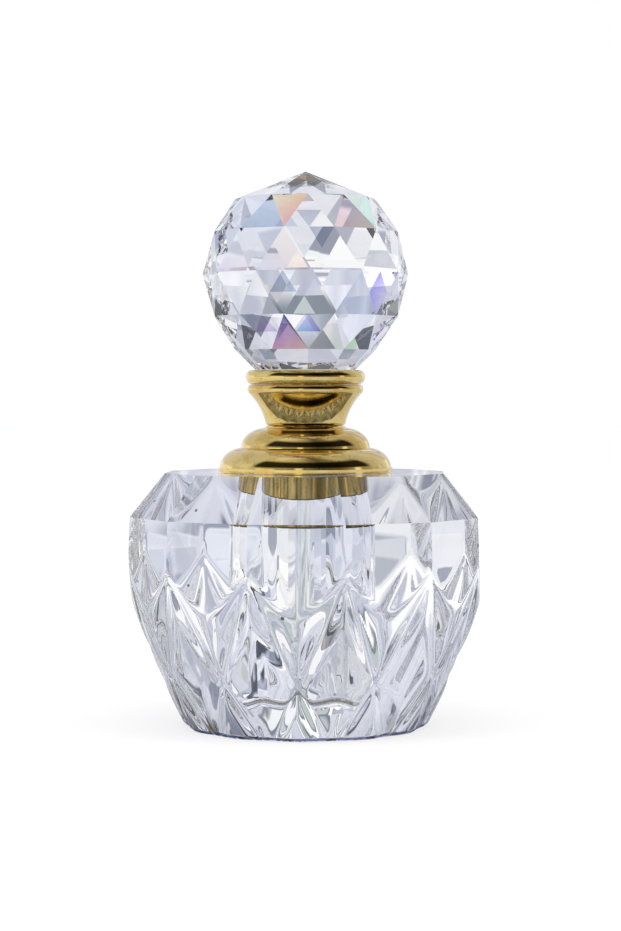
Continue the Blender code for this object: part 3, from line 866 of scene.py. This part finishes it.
class BOTTLE_OT_applicator(bpy.types.Operator):
    """Make the applicator: seal washer, rod plug and glass dauber rod"""

    bl_idname = "bottle.applicator"
    bl_label = "Applicator"

    def execute(self, context):
        plastic = soft_polyethylene(context.scene.bottle_finish)
        low, high = (corner.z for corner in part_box("seal_washer"))
        washer = turned("seal_washer_ring", [
            (2.0 * MM, high), (4.4 * MM, high), (4.5 * MM, high - 0.1 * MM),
            (4.5 * MM, low + 0.1 * MM), (4.4 * MM, low), (2.0 * MM, low),
        ], SMALL_STEPS, ring=True)
        finish_piece(washer, plastic, "seal", "seal_washer", SMOOTH_ANGLE)

        low, high = (corner.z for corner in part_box("rod_plug"))
        plug = turned("rod_plug_moulding", [
            (0.0, high), (4.2 * MM, high), (4.5 * MM, high - 0.3 * MM), (4.5 * MM, low + 0.1 * MM),
            (4.4 * MM, low), (1.75 * MM, low), (1.75 * MM, high - 0.35 * MM),
            (0.0, high - 0.35 * MM),
        ], SMALL_STEPS)
        finish_piece(plug, plastic, "applicator", "rod_plug", SMOOTH_ANGLE)

        low, high = (corner.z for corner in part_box("dauber_rod"))
        rod_radius, bulb_radius = 1.7 * MM, 2.4 * MM
        joined = acos(rod_radius / bulb_radius)
        centre = (0.0, low + bulb_radius)
        bulb = ellipse_arc(centre, bulb_radius, bulb_radius, joined, -pi / 2, 24)
        rod = turned("glass_dauber_rod", [
            (0.0, high), (rod_radius - 0.3 * MM, high), (rod_radius, high - 0.3 * MM),
            *bulb[:-1], (0.0, low),
        ], SMALL_STEPS)
        finish_piece(rod, drawn_glass(), "applicator", "dauber_rod", radians(30))
        return {"FINISHED"}


# Studio


def mirror_clean(tree, rays):
    """One for most rays, and a quarter for those that a surface has just mirrored."""
    unbent = maths(tree, "SUBTRACT", 1.0, rays.outputs["Is Transmission Ray"])
    mirrored = times(tree, rays.outputs["Is Glossy Ray"], unbent)
    return maths(tree, "SUBTRACT", 1.0, times(tree, mirrored, 0.75))


def studio_world():
    """A pale room, white where the camera sees it, with soft tones where the crystal and metal do.

    Behind the bottle it is light. The front, where the photographer stands, is dim above the table.
    """
    world = bpy.data.worlds.new("pale_studio")
    bpy.context.scene.world = world
    world.use_nodes = True
    tree = world.node_tree
    tree.nodes.clear()
    rays = add_node(tree, "ShaderNodeLightPath")
    place, (x, y, z) = coordinates(tree, "Generated")
    # Degrees round the bottle, nought behind it and plus to the right
    around = times(tree, maths(tree, "ARCTAN2", x, y), 180 / pi)
    back = tone_ramp(tree, z, [
        (0.0, "#F8F9FD"), (0.25, "#F8F9FD"), (0.42, "#EEF0F7"), (0.62, "#DEE0E9"), (0.8, "#D2D4DC"),
        (1.0, "#DADBE0"),
    ])
    front = tone_ramp(tree, z, [
        (0.0, "#D6D4D2"), (0.19, "#C2BFBC"), (0.25, "#6E6B68"), (0.3, "#35332D"), (0.69, "#33312C"),
        (0.76, "#8C8B8C"), (0.83, "#E4E2E0"), (1.0, "#F4F3F2"),
    ])
    # Crystal is shown a paler front than metal is
    paler = tone_ramp(tree, z, [
        (0.0, "#DAD9D9"), (0.3, "#A4A4AA"), (0.42, "#5E5F69"), (0.82, "#5A5B65"), (1.0, "#D4D5DB"),
    ])
    front = mixed(tree, rays.outputs["Is Transmission Ray"], front, paler)
    # The dim part is centred a little to the right of the camera
    facing = maths(tree, "SUBTRACT", times(tree, x, 0.24), times(tree, y, 0.97))
    room = mixed(tree, rise(tree, facing, -0.06, 0.14), back, front)
    # Sides: cooler on the left, dimmer and warmer on the right
    sides = tone_ramp(tree, span(tree, around, 0.0, 1.0, source=(-180, 180)), [
        (0.0, "#B8B6B4"), (0.08, "#DCDAD6"), (0.2, "#FFFFFF"), (0.33, "#F7F8FF"), (0.5, "#FAFAFC"),
        (0.62, "#F6F6F7"), (0.7, "#DDDCDC"), (0.8, "#CECCCA"), (0.86, "#8C8B8C"), (0.93, "#6C6B6D"),
        (1.0, "#B8B6B4"),
    ])
    room = mixed(tree, 1.0, room, sides, "MULTIPLY")
    # Upright folds of the backdrop, which the bore draws out into streaks
    folds = tone_ramp(tree, noise_along(tree, times(tree, around, 0.11), detail=1.0), [
        (0.36, "#D8D9DF"), (0.44, "#FFFFFF"), (0.5, "#E6E7ED"), (0.56, "#FFFFFF"), (0.62, "#DEDCDB"),
    ])
    room = mixed(tree, rise(tree, z, 0.75, 0.3), room, folds, "MULTIPLY")
    # Patches of light and shade, which give each facet of the ball a tone of its own
    patches = tone_ramp(tree, cells(tree, place, scale=4.2, smoothness=0.12), [
        (0.05, "#8C91A2"), (0.2, "#C2C6D1"), (0.36, "#F6F7FA"), (0.7, "#FFFFFF"), (0.95, "#E8EAEF"),
    ])
    # They lie behind the bottle, and polished faces mirror them only faintly
    behind = times(tree, rise(tree, facing, 0.1, -0.1), mirror_clean(tree, rays))
    room = mixed(tree, behind, room, patches, "MULTIPLY")
    # Windows and strip lights: their sides in degrees, foot, top, softness and colour
    for left, right, low, high, soft, tone in (
        (-66, -20, -0.5, 0.13, 2.0, "#FFFFFF"), (-140, -112, -0.5, 0.11, 3.0, "#FFFBF0"),
        (-178, -169, -0.5, 0.18, 3.0, "#FFFDF4"), (97, 107, -0.5, 0.2, 3.0, "#FFFDF4"),
        (22, 34, -0.5, 0.24, 1.5, "#FCFCFF"), (-12, 11, 0.24, 0.5, 0.8, "#7C8591"),
        (-11, -5, 0.27, 0.47, 0.5, "#FFFFFF"), (-3.5, 2, 0.27, 0.47, 0.5, "#BCC6C6"),
        (3.5, 10, 0.27, 0.47, 0.5, "#F4F5FA"),
    ):
        shape = times(
            tree, band(tree, around, left, right, soft), band(tree, z, low, high, soft / 60)
        )
        room = mixed(tree, shape, room, linear(tone))
    # Dark flags beside the bottle, which draw the dark outlines of its cuts
    for left, right in ((-98, -90), (-82, -78), (-50, -46), (44, 48), (70, 78), (90, 94), (118, 128)):
        shape = times(tree, band(tree, around, left, right, 0.8), band(tree, z, -0.4, 0.62, 0.03))
        shape = times(tree, shape, rays.outputs["Is Transmission Ray"])
        room = mixed(tree, shape, room, linear("#4C515E"))
    seen = add_node(tree, "ShaderNodeBackground", {"Color": room, "Strength": 1.08})
    white = add_node(tree, "ShaderNodeBackground", {"Color": (1, 1, 1, 1), "Strength": 1.0})
    plain = maths(tree, "ADD", rays.outputs["Is Camera Ray"], rays.outputs["Is Diffuse Ray"])
    both = add_node(tree, "ShaderNodeMixShader", {0: plain, 1: seen.outputs[0], 2: white.outputs[0]})
    add_node(tree, "ShaderNodeOutputWorld", {"Surface": both.outputs[0]})


def floor_material():
    """Matt white card, white to the camera but for the shadow; to crystal and metal it glows a soft
    grey, with painted shadow and painted light round the foot.
    """
    material, tree, output = new_material("matt_white_card")
    rays = add_node(tree, "ShaderNodeLightPath")
    place, (x, y, _) = coordinates(tree)
    away = length_of(tree, place)
    # Light gathered by the crystal lies in a ring at its foot, round the dark line of the base: painted
    # light in the ring, painted contact shade in the line, and painted shadow under the bottle within
    # it
    tone = tone_ramp(tree, span(tree, away, 0.0, 1.0, source=(0.0, 0.5)), [
        (0.0, "#6E7068"), (0.02, "#74766E"), (0.029, "#A6A8AC"), (0.034, "#4E5474"),
        (0.038, "#5A6080"), (0.042, "#FFFFFF"), (0.088, "#FFFFFF"), (0.12, "#DCDDE4"),
        (0.2, "#F0F1F6"), (0.34, "#F2F3F8"), (0.6, "#EDEEF3"), (1.0, "#FFFFFF"),
    ])
    # Spokes of thrown light and shade round the foot
    spokes = noise_along(tree, times(tree, maths(tree, "ARCTAN2", x, y), 2.0), detail=1.0)
    thrown = tone_ramp(tree, spokes, [
        (0.34, "#7C8194"), (0.43, "#FFFFFF"), (0.5, "#C6CAD4"), (0.57, "#FFFFFF"), (0.66, "#868A9A"),
    ])
    tone = mixed(tree, band(tree, away, 0.018, 0.07, 0.004), tone, thrown, "MULTIPLY")
    # Painted light and shade across the card: a little brighter on the left, darker and cooler on the
    # right
    sides = tone_ramp(tree, span(tree, x, 0.0, 1.0, source=(-0.1, 0.1)), [
        (0.0, "#FFFFFF"), (0.3, "#FFFFFC"), (0.42, "#F6F6F7"), (0.55, "#F4F5FC"), (0.7, "#F6F9FF"),
        (1.0, "#ECEEF6"),
    ])
    tone = mixed(tree, 1.0, tone, sides, "MULTIPLY")
    # Painted patches of light and shade further out, faint in what polished faces mirror
    patches = tone_ramp(tree, cells(tree, place, scale=17.0, smoothness=0.15), [
        (0.05, "#9A9EAD"), (0.24, "#DFE2E8"), (0.45, "#FFFFFF"), (0.95, "#F3F4F7"),
    ])
    far = times(tree, rise(tree, away, 0.045, 0.09), mirror_clean(tree, rays))
    tone = mixed(tree, far, tone, patches, "MULTIPLY")
    # Crystal and metal see this painted tone as light that the card gives off
    card = add_node(tree, "ShaderNodeEmission", {"Color": tone, "Strength": 1.05})
    lit = add_node(tree, "ShaderNodeBsdfDiffuse", {"Color": (0.35, 0.35, 0.36, 1)})
    glow = add_node(tree, "ShaderNodeEmission", {"Color": (1, 1, 1, 1), "Strength": 0.65})
    shown = add_node(tree, "ShaderNodeAddShader", {0: lit.outputs[0], 1: glow.outputs[0]})
    plain = maths(tree, "ADD", rays.outputs["Is Camera Ray"], rays.outputs["Is Diffuse Ray"])
    both = add_node(tree, "ShaderNodeMixShader", {0: plain, 1: card.outputs[0], 2: shown.outputs[0]})
    tree.links.new(both.outputs[0], output.inputs["Surface"])
    return material


def add_lamp(name, place, size, power, colour):
    """A soft box that faces the bottle."""
    clear_selection()
    bpy.ops.object.light_add(type="AREA", location=place)
    lamp = bpy.context.object
    lamp.name = name
    lamp.data.shape = "RECTANGLE"
    lamp.data.size, lamp.data.size_y = size
    lamp.data.energy = power
    lamp.data.color = linear(colour)[:3]
    lamp.rotation_euler = (Vector((0, 0, 0.04)) - Vector(place)).to_track_quat("-Z", "Y").to_euler()
    lamp.visible_camera = lamp.visible_glossy = lamp.visible_transmission = False


class BOTTLE_OT_studio(bpy.types.Operator):
    """Set the floor, the lamps and the camera"""

    bl_idname = "bottle.studio"
    bl_label = "Studio"

    def execute(self, context):
        studio_world()
        clear_selection()
        # The floor lies just under the base, so that the two don't share a plane
        bpy.ops.mesh.primitive_plane_add(size=6, location=(0, 0, -0.05 * MM))
        floor = context.object
        floor.name = floor.data.name = "floor_card"
        floor.data.materials.append(floor_material())
        add_lamp("soft_box_left", (-0.9, -0.35, 0.35), (0.6, 0.8), 6.0, "#FFFFFF")
        add_lamp("soft_box_right", (0.9, -0.25, 0.35), (0.5, 0.8), 5.0, "#FFFBF4")

        settings = context.scene.cycles
        settings.max_bounces = 32
        settings.transmission_bounces = 28
        settings.glossy_bounces = 16

        clear_selection()
        studio = context.scene.bottle_studio
        distance, height, turn = studio.distance, studio.height, studio.turn
        place = Vector((distance * sin(turn), -distance * cos(turn), height))
        bpy.ops.object.camera_add(location=place)
        camera = context.object
        camera.name = "photo_camera"
        camera.data.sensor_width = SENSOR_WIDTH
        camera.data.lens = SENSOR_WIDTH * FOCAL_LENGTH / PHOTO_HEIGHT
        ahead = Vector((-sin(turn), cos(turn), 0))
        right = Vector((cos(turn), sin(turn), 0))
        aim = ahead + right * (LOOK_RIGHT / FOCAL_LENGTH) - Vector((0, 0, LOOK_DOWN / FOCAL_LENGTH))
        camera.rotation_euler = aim.to_track_quat("-Z", "Y").to_euler()
        context.scene.camera = camera
        context.scene.view_settings.view_transform = "Standard"
        clear_selection()
        return {"FINISHED"}


class BOTTLE_PT_panel(bpy.types.Panel):
    """Crystal bottle"""

    bl_idname = "BOTTLE_PT_panel"
    bl_label = "Crystal Bottle"
    bl_space_type = "VIEW_3D"
    bl_region_type = "UI"
    bl_category = "Crystal Bottle"

    def draw(self, context):
        for step in STEPS:
            self.layout.operator(step.bl_idname)
        for place, group in SETTINGS.items():
            self.layout.label(text=group.__doc__)
            for name in group.__annotations__:
                self.layout.prop(getattr(context.scene, place), name)


STEPS = (
    BOTTLE_OT_crystal_body,
    BOTTLE_OT_crystal_ball,
    BOTTLE_OT_gilt_metal,
    BOTTLE_OT_applicator,
    BOTTLE_OT_studio,
)
SETTINGS = {
    "bottle_crystal": CrystalSizes,
    "bottle_metal": MetalSizes,
    "bottle_finish": FinishColours,
    "bottle_studio": StudioSettings,
}
CLASSES = (*SETTINGS.values(), *STEPS, BOTTLE_PT_panel)


def register():
    """Add the classes and the settings to Blender."""
    for item in CLASSES:
        bpy.utils.register_class(item)
    for place, group in SETTINGS.items():
        setattr(bpy.types.Scene, place, bpy.props.PointerProperty(type=group))


def unregister():
    """Take the classes and the settings out again."""
    for place in SETTINGS:
        delattr(bpy.types.Scene, place)
    for item in reversed(CLASSES):
        bpy.utils.unregister_class(item)


def main():
    """Make every piece and the studio."""
    register()
    bpy.ops.bottle.crystal_body()
    bpy.ops.bottle.crystal_ball()
    bpy.ops.bottle.gilt_metal()
    bpy.ops.bottle.applicator()
    bpy.ops.bottle.studio()


if __name__ == "__main__":
    main()
